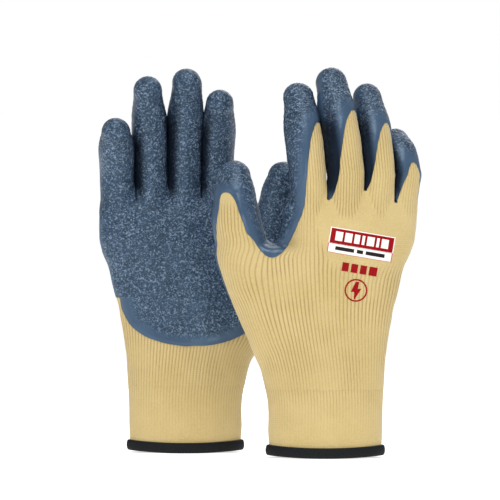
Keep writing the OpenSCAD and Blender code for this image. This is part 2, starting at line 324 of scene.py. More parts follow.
class Hand:
    """The measures of one glove, read from its CAD nodes, and its form."""

    def __init__(self, glove):
        self.glove = glove
        low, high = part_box(f"{glove}_cuff_hem")
        middle = (low + high) / 2 / MM
        self.place = np.array([middle.x, middle.y, 0])
        little_joint, thumb_joint = JOINTS[f"{glove}_little_flex"], JOINTS[f"{glove}_thumb_flex"]
        self.side = 1 if little_joint["pos_m"][0] > thumb_joint["pos_m"][0] else -1
        self.cuff_low, self.cuff_high = self.node_box("rib_cuff")
        self.cuff_wall = self.read_cuff_wall()
        self.digits = {name: Digit(self, name) for name in DIGITS}
        index, little = self.digits["index"], self.digits["little"]
        axis = little_joint["axis"]
        self.turn = math.atan2(axis[1] * np.sign(axis[0]), abs(axis[0]))
        hinges = np.array([self.digits[name].hinge for name in FINGERS])
        self.knuckles = np.polyfit(hinges[:, 0], hinges[:, 1], 2)
        self.knuckle_reach = (index.hinge[0] - 14, little.hinge[0] + 10)
        self.read_palm()
        self.web_centre = self.digits["thumb"].hinge + WEB_CENTRE
        self.split = index.hinge[2] - SPLIT_DROP
        self.thumb_split = self.digits["thumb"].hinge[2] - THUMB_SPLIT_DROP
        self.thenar = self.make_thenar()
        self.web = self.make_web()
        self.make_wales()

    def to_local(self, points):
        return (points - self.place) * [self.side, self.side, 1]

    def to_world(self, points):
        return points * [self.side, self.side, 1] + self.place

    def node_points(self, node):
        vertices = frame["nodes"][f"{self.glove}_{node}"].data.vertices
        flat = np.empty(len(vertices) * 3)
        vertices.foreach_get("co", flat)
        return self.to_local(flat.reshape(-1, 3) / MM)

    def node_box(self, node):
        points = self.node_points(node)
        return points.min(0), points.max(0)

    def read_cuff_wall(self):
        """Thickness of the cuff's knit, at the middle of the palm side."""
        points = self.node_points("rib_cuff")
        depths = points[(np.abs(points[:, 0]) < 1.0) & (points[:, 1] > 0)][:, 1]
        return depths.max() - depths.min()

    def read_palm(self):
        """Sections of the palm at each height: thumb side, little side and half depth."""
        points = self.node_points("palm_liner")
        heights = np.unique(np.round(points[:, 2], 1))
        rows = []
        for height in heights:
            ring = points[np.abs(points[:, 2] - height) < 0.1]
            centre = (ring[:, 0].min() + ring[:, 0].max()) / 2
            depths = ring[np.abs(ring[:, 0] - centre) < 0.6][:, 1]
            rows.append([height, ring[:, 0].min(), ring[:, 0].max(), (depths.max() - depths.min()) / 2])
        rows = np.array(rows)
        shelf = int(np.argmax(np.diff(rows[:, 1])))
        cuff = [[0, self.cuff_low[0], self.cuff_high[0], self.cuff_high[1]]]
        self.lower_palm = np.vstack([cuff, rows[: shelf + 1]])
        self.upper_palm = rows.copy()
        index = self.digits["index"]
        self.upper_palm[:, 1] = index.hinge[0] - index.radius + 1.5
        self.shelf = rows[shelf, 0]
        little = self.digits["little"]
        widest = little.hinge[0] - little.lean + little.radius - 0.5
        self.upper_palm[:, 2] = np.minimum(self.upper_palm[:, 2], widest)
        self.palm_top = index.hinge[2] - PALM_DROP

    def arch(self, x, z):
        """How far the middle of the hand's thickness lies out of the palm: it follows the knuckle line."""
        x = np.clip(x, *self.knuckle_reach)
        return smooth((z - ARCH_START) / ARCH_RISE) * np.polyval(self.knuckles, x)

    def section(self, rows, z):
        """Thumb side, little side and half depth of the palm at the given heights."""
        thumb_side, little_side, depth = (through(rows[:, 0], rows[:, k], z) for k in (1, 2, 3))
        swell = CUFF_SWELL * smooth((z - 5) / 15) * (1 - smooth((z - 42) / 20))
        return [thumb_side - swell, little_side + 0.3 * swell, depth]

    def exponent(self, z):
        """The sections turn from the cuff's ellipse into the palm's squarer outline."""
        return 2 + (SQUARENESS - 2) * smooth((z - CUFF_TOP) / 30)

    def tube(self, rows, points):
        """Distance to a tube with superellipse sections."""
        x, y, z = points.T
        thumb_side, little_side, depth = self.section(rows, z)
        exponent = self.exponent(z)
        half = (little_side - thumb_side) / 2
        across = np.maximum(np.abs(x - (thumb_side + little_side) / 2) / half, 1e-3)
        out = np.maximum(np.abs(y - self.arch(x, z)) / depth, 1e-3)
        level = (across**exponent + out**exponent) ** (1 / exponent)
        steepness = np.hypot(across ** (exponent - 1) / half, out ** (exponent - 1) / depth)
        gradient = level ** (1 - exponent) * steepness
        return np.minimum((level - 1) / gradient, BACKGROUND * 2)

    def make_thenar(self):
        """The ball of the thumb, from the thumb's root down to the wrist."""
        thumb = self.digits["thumb"]
        return Chain(thumb.hinge + np.array(THENAR_STEPS), thumb.radius * np.array(THENAR_SHARES))

    def make_web(self):
        """The rounded web between the thumb and the index finger, shaped like a U."""
        return Chain(self.web_centre + np.array(WEB_STEPS), np.full(len(WEB_STEPS), WEB_RADIUS))

    def finger_distances(self, points):
        return np.array([self.digits[name].chain.distance(points) for name in FINGERS])

    def field(self, points):
        """Signed distance to the surface of the knitted form, negative inside."""
        z = points[:, 2]
        lower = soft_max(self.tube(self.lower_palm, points), z - (self.shelf + 4), 9)
        upper = soft_max(self.tube(self.upper_palm, points), z - self.palm_top, 12)
        upper = upper + 5 * (1 - smooth((z - self.shelf + 26) / 26))
        upper = np.maximum(upper, self.shelf - 24 - z)
        palm = blend_min(lower, upper, 3)
        thumb = blend_min(self.digits["thumb"].chain.distance(points), self.thenar.distance(points), 8)
        palm = blend_min(palm, thumb, 6)
        palm = blend_min(palm, self.web.distance(points), 4)
        distances = self.finger_distances(points)
        fillet = 0.8 + 13 * (1 - smooth((z - self.palm_top) / 26))
        fingers = distances[0]
        for distance in distances[1:]:
            fingers = blend_min(fingers, distance, fillet)
        total = blend_min(palm, fingers, 7)
        for name, first, second in zip(FINGERS, distances, distances[1:]):
            web = self.digits[name].hinge[2] - WEB_DROP[name]
            open_slot = np.maximum(np.abs(first - second) / 2 - SLOT, web - z)
            near = np.minimum(first, second) < 9
            total = np.where(near, np.maximum(total, -open_slot), total)
        return total

    def normals(self, points, step=0.25):
        """Distances to the form and its outward directions."""
        value = self.field(points)
        slopes = []
        for axis in range(3):
            moved = points.copy()
            moved[:, axis] += step
            slopes.append((self.field(moved) - value) / step)
        slopes = np.array(slopes).T
        length = np.maximum(np.linalg.norm(slopes, axis=1), 0.2)
        return value / length, slopes / length[:, None]

    def project(self, points, passes=2):
        """Moves points onto the form and gives the outward directions there."""
        for _ in range(passes):
            value, outward = self.normals(points)
            points = points - np.clip(value, -1.5, 1.5)[:, None] * outward
        outward /= np.maximum(np.linalg.norm(outward, axis=1), 1e-6)[:, None]
        return points, outward

    def back_surface(self, x, z):
        """Points of the form on the back of the hand, found by halving."""
        outside = np.full(len(x), -45.0)
        inside = self.arch(x, z)
        for _ in range(18):
            middle = (outside + inside) / 2
            within = self.field(np.stack([x, middle, z], 1)) < 0
            inside = np.where(within, middle, inside)
            outside = np.where(within, outside, middle)
        return np.stack([x, inside, z], 1)

    def make_wales(self):
        """A table of the share of the way around the palm, by height and by angle."""
        self.wale_heights = np.arange(0, self.shelf + 6, WALE_TABLE_STEP)
        self.wale_angles = np.linspace(-math.pi, math.pi, WALE_TABLE_TURNS + 1)
        rows = []
        for height in self.wale_heights:
            thumb_side, little_side, depth = self.section(self.lower_palm, np.array([height]))
            exponent = self.exponent(height)
            cos, sin = np.cos(self.wale_angles), np.sin(self.wale_angles)
            x = np.sign(cos) * np.abs(cos) ** (2 / exponent) * (little_side - thumb_side) / 2
            y = np.sign(sin) * np.abs(sin) ** (2 / exponent) * depth
            length = np.concatenate([[0], np.cumsum(np.hypot(np.diff(x), np.diff(y)))])
            back = np.interp(-math.pi / 2, self.wale_angles, length)
            rows.append((length - back) / length[-1])
        self.wale_table = np.array(rows)

    def palm_wale(self, points):
        """Ribs from the middle of the back. Above the thumb's root they run straight on to the fingers."""
        x, y, z = points.T
        low = np.minimum(z, self.shelf)
        thumb_side, little_side, depth = self.section(self.lower_palm, low)
        middle = (thumb_side + little_side) / 2
        exponent = self.exponent(low) / 2
        across = (x - middle) / ((little_side - thumb_side) / 2)
        out = (y - self.arch(x, z)) / depth
        rounded = [np.sign(value) * np.abs(value) ** exponent for value in (out, across)]
        row = np.clip(low / WALE_TABLE_STEP, 0, len(self.wale_heights) - 1.001)
        column = (np.arctan2(*rounded) + math.pi) / (2 * math.pi) * WALE_TABLE_TURNS
        i = np.floor(row).astype(int)
        j = np.clip(np.floor(column).astype(int), 0, WALE_TABLE_TURNS - 1)
        u, v = row - i, column - j
        table = self.wale_table
        lower_row = table[i, j] * (1 - v) + table[i, j + 1] * v
        upper_row = table[i + 1, j] * (1 - v) + table[i + 1, j + 1] * v
        return WALES * (lower_row * (1 - u) + upper_row * u)

    def digit_wale(self, digit, points):
        """Ribs around a digit, counted on from the palm's rib at the middle of its back."""
        across, out = digit.around(points)
        columns = round(2 * math.pi * digit.radius / FINGER_PITCH)
        root = digit.hinge - [0, 0, 12]
        start = self.palm_wale(np.array([root + [0, -digit.radius, 0]]))[0]
        return start + np.arctan2(across, -out) / (2 * math.pi) * columns

    def wale(self, points):
        """How many ribs of knit lie between the middle of the back and each point."""
        z = points[:, 2]
        total = self.palm_wale(points)
        owner = self.owner(points)
        for number, name in enumerate(DIGITS):
            digit = self.digits[name]
            start, length = WALE_CHANGE[name]
            share = smooth((z - digit.hinge[2] + start) / length)
            if name == "thumb":
                share = share * smooth((self.web_centre[0] + 4 - points[:, 0]) / 14)
            else:
                share = share * (owner == number)
            total = total + share * (self.digit_wale(digit, points) - total)
        return total

    def owner(self, points):
        """The number of the nearest digit."""
        return np.argmin([self.digits[name].chain.distance(points) for name in DIGITS], axis=0)


def finger_window(hand, digit, points):
    """Distance past the edge of the latex on the back of a finger, positive where it is coated."""
    window_top, peak, spread = WINDOWS[digit.name]
    across, out = digit.around(points)
    below_tip = digit.top - points[:, 2]
    turn = np.arctan2(across, -out) - math.asin(peak)
    rise = np.where(turn > 0, turn / 0.6, np.maximum(peak - across, 0) / spread)
    edge = window_top + WINDOW_FALL * rise**WINDOW_EXPONENT
    slope = WINDOW_FALL * WINDOW_EXPONENT * rise ** (WINDOW_EXPONENT - 1) / 0.5 / digit.radius
    coated = (edge - below_tip) / np.hypot(1, slope)
    if digit.name == "index":
        return coated
    neighbour = FINGERS[FINGERS.index(digit.name) - 1]
    other = hand.digits[neighbour]
    share = other.radius / (other.radius + digit.radius)
    web_x = other.hinge[0] + share * (digit.hinge[0] - other.hinge[0]) + 1.0
    aside = np.clip(points[:, 0] - web_x, -6, CLEFT_REACH[digit.name])
    bend = np.where(aside > 0, 0.38, 1.5)
    cleft = points[:, 2] - other.hinge[2] + WEB_DROP[neighbour] - bend * aside**2
    return np.minimum(coated, cleft / np.hypot(1, 2 * bend * aside))


def thumb_window(hand, points):
    """The same for the thumb, whose window leans to its outer side."""
    thumb = hand.digits["thumb"]
    across, out = thumb.around(points)
    below_tip = thumb.top - points[:, 2]
    rise = np.maximum(across - THUMB_PEAK, 0)
    fall = np.clip(math.asin(-0.5) - np.arctan2(across, -out), 0, 1.2)
    edge = THUMB_WINDOW + THUMB_FALL * rise**THUMB_EXPONENT + THUMB_OUTER_FALL * fall**2
    slope = THUMB_FALL * THUMB_EXPONENT * rise ** (THUMB_EXPONENT - 1) + 2 * THUMB_OUTER_FALL * fall
    slope /= thumb.radius
    return np.minimum((edge - below_tip) / np.hypot(1, slope), 0.8 * (points[:, 2] - thumb.hinge[2]) + 1)


def crotch_cup(hand, points):
    """The latex reaches over the web between the thumb and the index finger in a cup."""
    x, _, z = points.T
    across, above = x - hand.web_centre[0], z - hand.web_centre[2]
    cup = (above - CUP_BEND * across**2) / np.hypot(1, 2 * CUP_BEND * across)
    index_side = 21.4 + 0.0825 * (above - 37.3) - across
    return np.minimum(cup, index_side)


def palm_edge(hand, x, z):
    """On the palm the latex ends in a rounded edge above the wrist."""
    palm = hand.section(hand.lower_palm, np.array([PALM_EDGE_TOP]))
    half = (palm[1] - palm[0])[0] / 2 * PALM_EDGE_SHARE
    across = np.abs(x - PALM_EDGE_MIDDLE) / half
    drop = np.maximum(PALM_EDGE_TOP - z, 0) / PALM_EDGE_DROP
    level = (across**PALM_EDGE_EXPONENT + drop**PALM_EDGE_EXPONENT) ** (1 / PALM_EDGE_EXPONENT)
    return np.where(z < PALM_EDGE_TOP, (1 - level) * 33.0, 100.0)


def coating_edge(hand, points, outward):
    """How far inside the latex's edge each point of the form is: negative where the knit shows."""
    x, _, z = points.T
    owner = hand.owner(points)
    turn = hand.turn * smooth((z - ARCH_START) / ARCH_RISE)
    lean = np.arcsin(np.clip(outward[:, 1] * np.cos(turn) - outward[:, 0] * np.sin(turn), -1, 1))
    thumb_side = smooth((hand.web_centre[0] + 12 - x) / 20)
    low_flank = 5 - 22 * smooth((z - hand.shelf - 1) / 25)
    little_flank = 13 - 25 * smooth((z - hand.palm_top + 8) / 20)
    flank = np.radians(little_flank * (1 - thumb_side) + low_flank * thumb_side)
    fleshy = smooth((z - hand.digits["index"].hinge[2] + 25) / 20)
    thickness = np.where(owner == DIGITS.index("thumb"), 14.0, 18.0 - 7.0 * fleshy)
    side = thickness * (lean - flank)
    coated = np.minimum(side, palm_edge(hand, x, z))
    near_web = (x < hand.web_centre[0] + 30) & (z > hand.thumb_split - 26)
    coated = np.where(near_web, np.maximum(coated, crotch_cup(hand, points)), coated)
    is_thumb = (x < hand.web_centre[0]) & (z > hand.web_centre[2])
    coated = np.where(is_thumb, soft_max(coated, thumb_window(hand, points), 6), coated)
    for number, name in enumerate(FINGERS):
        digit = hand.digits[name]
        mine = (owner == number) & (z > digit.hinge[2] - 22)
        coated = np.where(mine, soft_max(coated, finger_window(hand, digit, points), 2), coated)
    ripple = 0.35 * noise(points, 7.0, 5)
    return coated + ripple


def isosurface(hand, spacing):
    """Quads over the form, from the top of the cuff to the fingertips."""
    palm_low, palm_high = hand.node_box("palm_coating")
    tops = [hand.digits[name].top for name in DIGITS]
    depth = max(digit.tip[1] + digit.radius for digit in hand.digits.values())
    low = np.array([palm_low[0] - 8, -32.0, CUFF_TOP - 6])
    high = np.array([palm_high[0] + 8, max(depth, palm_high[1]) + 6, max(tops) + 4])
    axes = [np.arange(low[k], high[k], spacing) for k in range(3)]
    shape = [len(axis) for axis in axes]
    values = np.empty(shape, np.float32)
    for i, x in enumerate(axes[0]):
        plane = np.stack(np.meshgrid([x], axes[1], axes[2], indexing="ij"), -1).reshape(-1, 3)
        values[i] = hand.field(plane).reshape(shape[1:])
    volume = openvdb.FloatGrid(BACKGROUND)
    volume.copyFromArray(values)
    points, quads = volume.convertToQuads(isovalue=0.0)
    return low + points * spacing, quads.astype(np.int64)


def halve(points, quads):
    """Splits every quad into four."""
    count = len(points)
    corners = np.stack([quads, np.roll(quads, -1, axis=1)], -1).reshape(-1, 2)
    edges, where = np.unique(np.sort(corners, axis=1), axis=0, return_inverse=True)
    where = where.reshape(-1, 4) + count
    middles = points[edges].mean(1)
    centres = points[quads].mean(1)
    centre_ids = count + len(edges) + np.arange(len(quads))
    parts = [
        np.stack([quads[:, k], where[:, k], centre_ids, where[:, k - 1]], 1)
        for k in range(4)
    ]
    return np.vstack([points, middles, centres]), np.concatenate(parts)


def compact(quads, *arrays):
    """Keeps only the points that the quads use."""
    used, renumbered = np.unique(quads, return_inverse=True)
    return [renumbered.reshape(-1, 4)] + [array[used] for array in arrays]


def boundary(quads):
    """Directed edges that belong to one quad only."""
    edges = np.stack([quads, np.roll(quads, -1, axis=1)], -1).reshape(-1, 2)
    _, where, counts = np.unique(np.sort(edges, axis=1), axis=0, return_inverse=True, return_counts=True)
    return edges[counts[where.ravel()] == 1]


def add_piece(hand, name, points, quads, materials, attributes):
    """A new smooth mesh from points in the glove's frame."""
    mesh = bpy.data.meshes.new(f"{hand.glove}_{name}")
    mesh.vertices.add(len(points))
    mesh.vertices.foreach_set("co", (hand.to_world(points) * MM).astype(np.float32).ravel())
    mesh.loops.add(quads.size)
    mesh.loops.foreach_set("vertex_index", quads.astype(np.int32).ravel())
    mesh.polygons.add(len(quads))
    mesh.polygons.foreach_set("loop_start", np.arange(0, quads.size, 4, dtype=np.int32))
    mesh.polygons.foreach_set("use_smooth", np.ones(len(quads), bool))
    for key, values in attributes.items():
        layer = mesh.attributes.new(key, "FLOAT", "POINT")
        layer.data.foreach_set("value", np.asarray(values, np.float32))
    for material in materials:
        mesh.materials.append(material)
    mesh.update(calc_edges=True)
    mesh.validate()
    piece = bpy.data.objects.new(f"{hand.glove}_{name}", mesh)
    bpy.context.scene.collection.objects.link(piece)
    return piece


def fit(hand, piece, node, part="palm"):
    """A piece takes its CAD node's place. The palm's ride on the hand; a digit's are fixed in place."""
    glove = hand.glove
    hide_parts(f"{glove}_{node}")
    if part == "palm":
        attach(piece, f"{glove}_hand")
        return
    digit = hand.digits[part]
    foot = hand.to_world(np.array([digit.hinge]))[0] * MM
    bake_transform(piece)


def rib_height(wale):
    """Rounded ribs with narrow grooves between them, from 0 in a groove to 1 on a rib."""
    return 1 - (0.5 - 0.5 * np.cos(2 * math.pi * wale)) ** 2.2


def wale_fade(hand, points):
    """The ribs flatten over the back, where the knit is stretched, in the clefts and towards the hem."""
    x, y, z = points.T
    knuckle = hand.digits["index"].hinge[2]
    low = knuckle - 24 - 42 * smooth((x + 14) / 20)
    distances = np.sort(hand.finger_distances(points), axis=0)
    gap = distances[1] - distances[0]
    high = knuckle - 4 - 20 * smooth(gap / 11)
    stretched = smooth((z - low) / 14) * smooth((high - z) / 9) * (y < hand.arch(x, z))
    cleft = smooth((z - knuckle + 22) / 22) * (1 - smooth(gap / 3))
    patches = smooth(0.5 + noise(points, 16.0, 8))
    return (1 - 0.85 * stretched) * (1 - cleft) * (1 - 0.3 * patches) * cuff_fade(z)


def cuff_fade(z):
    """The ribs grow deeper from the hem up."""
    return 0.3 + 0.7 * smooth((z - 5) / 62)


def unevenness(points):
    """Slight hollows and swells of soft fabric."""
    rise = smooth((points[:, 2] - CUFF_TOP) / 25)
    return (0.35 * noise(points, 11.0, 3) + 0.15 * noise(points, 5.0, 4)) * rise


def crinkle_height(points):
    """Meandering wrinkles from 0 to 1, as latex makes when it is wrinkled before it sets."""
    warp = np.stack([noise(points, 2.6, seed) for seed in (11, 12, 13)], 1)
    bent = (points + 0.6 * warp) * [1, 1, 1.15]
    grains = noise(bent, CRINKLE_SIZE, 21)
    ridges = 1 - 2.2 * np.abs(noise(bent, CRINKLE_SIZE * 1.7, 22))
    return np.clip(0.5 + 0.6 * grains + 0.16 * ridges, 0, 1.1)


def painted_cleft_shade(hand, points, outward):
    """Painted shade in the cleft between two fingers: how deep in the cleft each point lies, from 0 to 1.

    The side of a finger that faces away from the light gets the painted shade more widely.
    """
    shaded = -hand.side
    own = np.argmin(hand.finger_distances(points), axis=0)
    probes = hand.finger_distances(points + 6 * outward)
    painted_shade = np.zeros(len(points))
    for number, name in enumerate(FINGERS):
        for other in (number - 1, number + 1):
            if 0 <= other < len(FINGERS):
                lower = min(hand.digits[name].top, hand.digits[FINGERS[other]].top)
                length = lower - hand.digits[name].hinge[2]
                depth = smooth((lower - 0.1 * length - points[:, 2]) / (0.43 * length))
                close = 1 - smooth((probes[other] + 1.5) / 6.5)
                if other - number == shaded:
                    across, _ = hand.digits[name].around(points)
                    close = np.maximum(close, smooth((shaded * across - SHADE_START[hand.glove]) / 0.5))
                painted_shade = np.maximum(painted_shade, np.where(own == number, depth * close, 0))
    web = hand.split - 12
    return painted_shade * smooth((points[:, 2] - web) / 14)


def part_of(hand, centres):
    """The number of the digit each face belongs to, or -1 for the palm."""
    x, _, z = centres.T
    is_thumb = (z > hand.thumb_split) & (x < hand.web_centre[0])
    is_finger = (z > hand.split) & ~is_thumb
    return np.where(is_thumb, DIGITS.index("thumb"), np.where(is_finger, hand.owner(centres), -1))


def snap_edge(hand, points, outward, quads):
    """Moves the rim of a coating onto the line where the latex ends."""
    rim = np.unique(boundary(quads))
    margin = coating_edge(hand, points[rim], outward[rim])
    rim = rim[np.abs(margin) < GRID]
    for _ in range(2):
        here, normal = points[rim], outward[rim]
        value = coating_edge(hand, here, normal)
        first = np.cross(normal, [0.3, 0.9, 0.31])
        first /= np.linalg.norm(first, axis=1)[:, None]
        second = np.cross(normal, first)
        step = 0.4
        slopes = []
        for direction in (first, second):
            moved, moved_normal = hand.project(here + step * direction, 1)
            slopes.append((coating_edge(hand, moved, moved_normal) - value) / step)
        slope_square = np.maximum(slopes[0] ** 2 + slopes[1] ** 2, 0.3)
        shift = -(slopes[0] * value / slope_square)[:, None] * first
        shift -= (slopes[1] * value / slope_square)[:, None] * second
        length = np.maximum(np.linalg.norm(shift, axis=1), 1e-6)
        shift *= np.minimum(1, GRID * 0.6 / length)[:, None]
        points[rim], outward[rim] = hand.project(here + shift, 1)
    return rim


class Skin:
    """The mesh of the whole form: points, outward directions, depths inside the latex's edge, and quads."""

    def __init__(self, hand, points, quads, passes):
        self.points, self.outward = hand.project(points, passes)
        self.quads = quads
        self.margin = coating_edge(hand, self.points, self.outward)


def build_form(hand):
    """All knit and latex pieces of one glove."""
    coarse = Skin(hand, *isosurface(hand, GRID), 1)
    fine = Skin(hand, *halve(coarse.points, coarse.quads), 2)
    parent = np.tile(np.arange(len(coarse.quads)), 4)
    centres = coarse.points[coarse.quads].mean(1)
    part = part_of(hand, centres)
    coated = fine.margin[fine.quads].mean(1) > 0
    for number, name in [(-1, "palm")] + list(enumerate(DIGITS)):
        mine = (part == number) & (centres[:, 2] > CUFF_TOP)
        build_knit(hand, name, mine, coarse, fine, parent)
        build_latex(hand, name, fine.quads[mine[parent] & coated], fine)


def build_knit(hand, name, mine, coarse, fine, parent):
    """The liner of one part: fine where it shows and plain under the latex."""
    seen = mine & (coarse.margin[coarse.quads].mean(1) < 3)
    seen_quads, points, outward, margin = compact(
        fine.quads[seen[parent]], fine.points, fine.outward, fine.margin)
    hidden_quads, lowered, inward = compact(coarse.quads[mine & ~seen], coarse.points, coarse.outward)
    rib = rib_height(hand.wale(points))
    shown = 1 - smooth((margin + 0.5) / 1.5)
    fade = wale_fade(hand, points)
    raised = points + outward * (WALE_DEPTH * (rib - 1) * shown * fade + unevenness(points))[:, None]
    if name == "palm":
        foot = np.unique(boundary(seen_quads))
        foot = foot[raised[foot, 2] < CUFF_TOP + 2 * GRID]
        raised[foot, 2] = CUFF_TOP
    lowered = lowered + inward * (unevenness(lowered) - 0.3)[:, None]
    piece = add_piece(
        hand, f"{name}_knit", np.vstack([raised, lowered]),
        np.vstack([seen_quads, hidden_quads + len(raised)]), [KNIT],
        {"rib": np.concatenate([1 - (1 - rib) * fade, np.ones(len(lowered))])})
    fit(hand, piece, f"{name}_liner", name)


def build_latex(hand, name, quads, fine):
    """The coating of one part, thick and wrinkled inside and thin and smooth along its edge."""
    quads, points, outward = compact(quads, fine.points, fine.outward)
    rim = snap_edge(hand, points, outward, quads)
    margin = np.maximum(coating_edge(hand, points, outward), 0)
    margin[rim] = 0
    rough = smooth((margin - SMOOTH_START) / SMOOTH_EDGE) * (0.85 + 0.15 * noise(points, 9.0, 31))
    crinkle = crinkle_height(points)
    thickness = LATEX * (0.45 + 0.55 * smooth(margin / 2.5)) + CRINKLE * rough * (crinkle - 0.6)
    # Painted shade in the clefts between the fingers, kept for the latex's colour
    painted_shade = painted_cleft_shade(hand, points, outward)
    top = points + outward * (thickness + unevenness(points))[:, None]
    edges = boundary(quads)
    edges = edges[np.isin(edges, rim).all(axis=1)]
    ids, renumbered = np.unique(edges, return_inverse=True)
    renumbered = renumbered.reshape(-1, 2) + len(top)
    skirt = points[ids] + outward[ids] * (unevenness(points[ids]) - 0.5)[:, None]
    walls = np.stack([edges[:, 1], edges[:, 0], renumbered[:, 0], renumbered[:, 1]], 1)
    looks = {"crinkle": crinkle, "rough": rough, "painted_shade": painted_shade}
    piece = add_piece(
        hand, f"{name}_latex", np.vstack([top, skirt]), np.vstack([quads, walls]), [LATEX_MATERIAL],
        {key: np.concatenate([values, values[ids]]) for key, values in looks.items()})
    fit(hand, piece, f"{name}_coating", name)


def ring_quads(columns, rows):
    """Quads of a closed ring of columns, from row to row."""
    i, j = np.meshgrid(np.arange(rows - 1), np.arange(columns), indexing="ij")
    here, beside = i * columns + j, i * columns + (j + 1) % columns
    return np.stack([here, beside, beside + columns, here + columns], -1).reshape(-1, 4)


def oval_points(hand, angles, offset, z):
    """Points around the cuff at a distance from its face."""
    section = hand.section(hand.lower_palm, np.array([z]))
    thumb_side, little_side, depth = (value[0] for value in section)
    half = (little_side - thumb_side) / 2
    cos, sin = np.cos(angles), np.sin(angles)
    normal = np.stack([cos / half, sin / depth], 1)
    normal /= np.linalg.norm(normal, axis=1)[:, None]
    flat = np.stack([(thumb_side + little_side) / 2 + half * cos, depth * sin], 1) + normal * offset[:, None]
    return np.column_stack([flat, np.full(len(angles), z)])


def even_angles(hand, count, height=20.0):
    """Angles around the cuff that lie an equal length of knit apart, starting at the middle of the back."""
    row = height / WALE_TABLE_STEP
    i = int(row)
    shares = hand.wale_table[i] * (1 - row + i) + hand.wale_table[i + 1] * (row - i)
    wanted = np.arange(count) / count
    wanted = np.where(wanted > shares[-1], wanted - 1, wanted)
    return np.interp(wanted, shares, hand.wale_angles)


def hem_lift(angles):
    """The hem rises a little at the sides of the wrist."""
    return HEM_LIFT * np.cos(angles) ** 2


def build_cuff(hand):
    """The ribbed cuff: a double wall of real ribs, turned in at its top under the palm."""
    per_wale = 6
    count = WALES * per_wale
    rib = rib_height(np.arange(count) / per_wale)
    low = hand.cuff_low[2]
    heights = np.append(np.linspace(low, CUFF_TOP, 30), CUFF_TOP + 5)
    rings, ribs = [], []
    for height in heights:
        tuck = 0.4 * (height > CUFF_TOP)
        fade = cuff_fade(height)
        relief = WALE_DEPTH * (rib - 1) * fade
        rings.append(oval_points(hand, even_angles(hand, count, height), relief - tuck, height))
        ribs.append(1 - (1 - rib) * fade)
    inside = np.full(count, -hand.cuff_wall)
    for height in heights[::-1]:
        rings.append(oval_points(hand, even_angles(hand, count, height), inside, height))
        ribs.append(np.ones(count))
    points = np.vstack(rings)
    lift = hem_lift(np.arctan2(points[:, 1], points[:, 0]))
    points[:, 2] += lift * (1 - smooth(points[:, 2] / 14))
    points = points + unevenness(points)[:, None] * [0, 1, 0] * np.sign(points[:, 1:2])
    piece = add_piece(hand, "cuff_knit", points, ring_quads(count, len(rings)), [KNIT],
                      {"rib": np.concatenate(ribs)})
    fit(hand, piece, "rib_cuff")


def build_hem(hand):
    """The overlocked hem: a rounded band of slanting stitches folded over the end of the cuff."""
    low, high = hand.node_box("cuff_hem")
    roll = high[0] - hand.cuff_high[0]
    perimeter = math.pi * (hand.cuff_high[0] + hand.cuff_high[1])
    stitches = round(perimeter / STITCH)
    count = stitches * 8
    angles = even_angles(hand, count)
    profile = []
    for t in np.linspace(0, 1, 13):
        turn = math.pi * t
        profile.append([roll * math.sin(turn) ** 0.55, high[2] / 2 * (1 - math.cos(turn))])
    inner = -hand.cuff_wall - 1.0
    profile = [[inner, high[2] * 0.8], [inner, 0.6]] + profile + [[-0.5, high[2] + 0.15]]
    rings, phases = [], []
    for offset, height in profile:
        phase = 2 * math.pi * (np.arange(count) / count * stitches + height / STITCH * 0.45)
        ridge = STITCH_HEIGHT * np.cos(phase) * (offset > 0.3)
        ring = oval_points(hand, angles, offset + ridge, max(height, 0.0))
        ring[:, 2] += hem_lift(angles)
        rings.append(ring)
        phases.append(0.5 + 0.5 * np.cos(phase))
    points = np.vstack(rings)
    points[:, 2] = np.maximum(points[:, 2], 0)
    piece = add_piece(hand, "hem_binding", points, ring_quads(count, len(rings)), [HEM],
                      {"stitch": np.concatenate(phases)})
    fit(hand, piece, "cuff_hem")


def build_elastic(hand):
    """Covered elastic yarns laid around the inside of the cuff."""
    points = hand.node_points("cuff_elastic")
    heights = np.unique(np.round(points[:, 2], 1))
    yarn = heights[1] - heights[0]
    count, sides = YARN_COLUMNS, YARN_SIDES
    angles = even_angles(hand, count)
    all_points, all_quads, twists = [], [], []
    for height in heights[::2]:
        rings = []
        for k in range(sides + 1):
            turn = 2 * math.pi * k / sides
            twist = 0.5 + 0.5 * np.cos(np.arange(count) * 2 * math.pi / 3 + turn)
            reach = yarn / 2 * (0.9 + 0.1 * twist)
            offset = -hand.cuff_wall - yarn / 2 - 0.05 + reach * math.cos(turn)
            ring = oval_points(hand, angles, offset, height + yarn / 2)
            ring[:, 2] += reach * math.sin(turn)
            rings.append(ring)
            twists.append(twist)
        all_quads.append(ring_quads(count, sides + 1) + len(all_points) * count * (sides + 1))
        all_points.append(np.vstack(rings))
    piece = add_piece(hand, "elastic_yarns", np.vstack(all_points), np.vstack(all_quads), [ELASTIC],
                      {"stitch": np.concatenate(twists)})
    fit(hand, piece, "cuff_elastic")


def film(hand, name, node, x, z, quads, materials, choice):
    """A printed film that follows the ribs of the knit below it."""
    points = hand.back_surface(x.ravel(), z.ravel())
    _, outward = hand.normals(points)
    rib = rib_height(hand.wale(points))
    rib = 1 - (1 - rib) * wale_fade(hand, points)
    points = points + outward * (WALE_DEPTH * (rib - 1) * 0.75 + unevenness(points) + FILM)[:, None]
    piece = add_piece(hand, name, points, quads, materials, {"rib": rib})
    piece.data.polygons.foreach_set("material_index", choice.astype(np.int32))
    piece.data.update()
    fit(hand, piece, node)


def sheet(width, height, step):
    """A flat grid of points around its middle, its quads, and the quads' centres."""
    columns, rows = round(width / step) + 1, round(height / step) + 1
    u, v = np.meshgrid(
        np.linspace(-width / 2, width / 2, columns), np.linspace(-height / 2, height / 2, rows))
    i, j = np.meshgrid(np.arange(rows - 1), np.arange(columns - 1), indexing="ij")
    first = i * columns + j
    quads = np.stack([first, first + 1, first + columns + 1, first + columns], -1).reshape(-1, 4)
    return u, v, quads, u.ravel()[quads].mean(1), v.ravel()[quads].mean(1)


